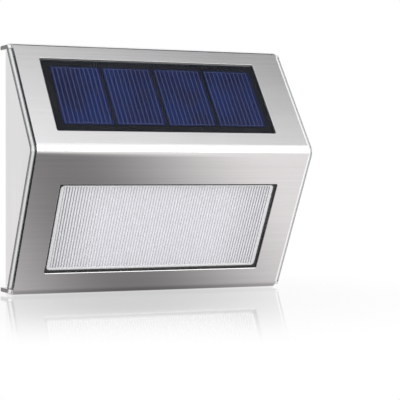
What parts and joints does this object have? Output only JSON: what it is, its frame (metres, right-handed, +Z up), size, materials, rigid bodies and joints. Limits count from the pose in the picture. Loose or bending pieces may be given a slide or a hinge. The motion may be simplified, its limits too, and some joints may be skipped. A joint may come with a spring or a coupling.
{
  "type": "solar fence light",
  "caption": "Wedge-fronted solar light for a fence or wall: bent steel cover over a clear housing, solar panel above, ribbed lens below.",
  "frame": {"origin": "middle of the flat back that lies against the wall, at mid width and mid height", "axes": "+X to the light's right side seen from the front, +Y into the wall, +Z up; the light faces -Y"},
  "size_m": [0.12, 0.0414, 0.1],
  "materials": {
    "steel": "fine horizontal brushing",
    "end_steel": "fine brushing",
    "clear_body": "clear moulded plastic",
    "clear_lens": "clear ribbed plastic",
    "black_rubber": "soft black",
    "silver": "silvered plastic",
    "black_board": "black board",
    "cell": "blue silicon with fine silver lines",
    "laminate": "clear laminate",
    "foam": "adhesive foam",
    "green_board": "green circuit board",
    "lamp": "clear domed lamp",
    "chip": "moulded black",
    "coil": "dark ferrite",
    "back_plastic": "fine textured moulding",
    "battery": "plain wrapped cell",
    "contact": "nickel plated strip",
    "switch_case": "black moulding",
    "knob": "light moulding",
    "screw": "plain steel",
    "lead_red": "red insulation",
    "lead_black": "black insulation"
  },
  "bodies": {
    "light": {"back_plate": "back_plastic", "back_screws": "screw", "back_seal": "black_rubber", "battery_cell": "battery", "battery_contact_negative": "contact", "battery_contact_positive": "contact", "battery_door": "back_plastic", "battery_lead_negative": "lead_black", "battery_lead_positive": "lead_red", "control_board": "green_board", "control_board_screws": "screw", "door_gasket": "black_rubber", "door_screws": "screw", "driver_chip": "chip", "front_cover": "steel", "inductor": "coil", "lamp_lead_negative": "lead_black", "lamp_lead_positive": "lead_red", "led_board": "green_board", "led_board_screws": "screw", "led_centre": "lamp", "led_left": "lamp", "led_right": "lamp", "lens_gasket": "black_rubber", "light_housing": "clear_body", "panel_lead_negative": "lead_black", "panel_lead_positive": "lead_red", "reflector": "silver", "ribbed_lens": "clear_lens", "side_plate_left": "end_steel", "side_plate_right": "end_steel", "solar_board": "black_board", "solar_cell_1": "cell", "solar_cell_2": "cell", "solar_cell_3": "cell", "solar_cell_4": "cell", "solar_cover_sheet": "laminate", "solar_pad": "foam", "switch_body": "switch_case", "switch_lead_negative": "lead_black", "switch_lead_positive": "lead_red", "switch_screws": "screw"},
    "slider": {"switch_slider": "knob"}
  },
  "joints": [
    {"name": "switch_slide", "type": "slide", "parent": "light", "child": "slider", "axis": [1, 0, 0], "range_m": [0, 0.003]}
  ]
}
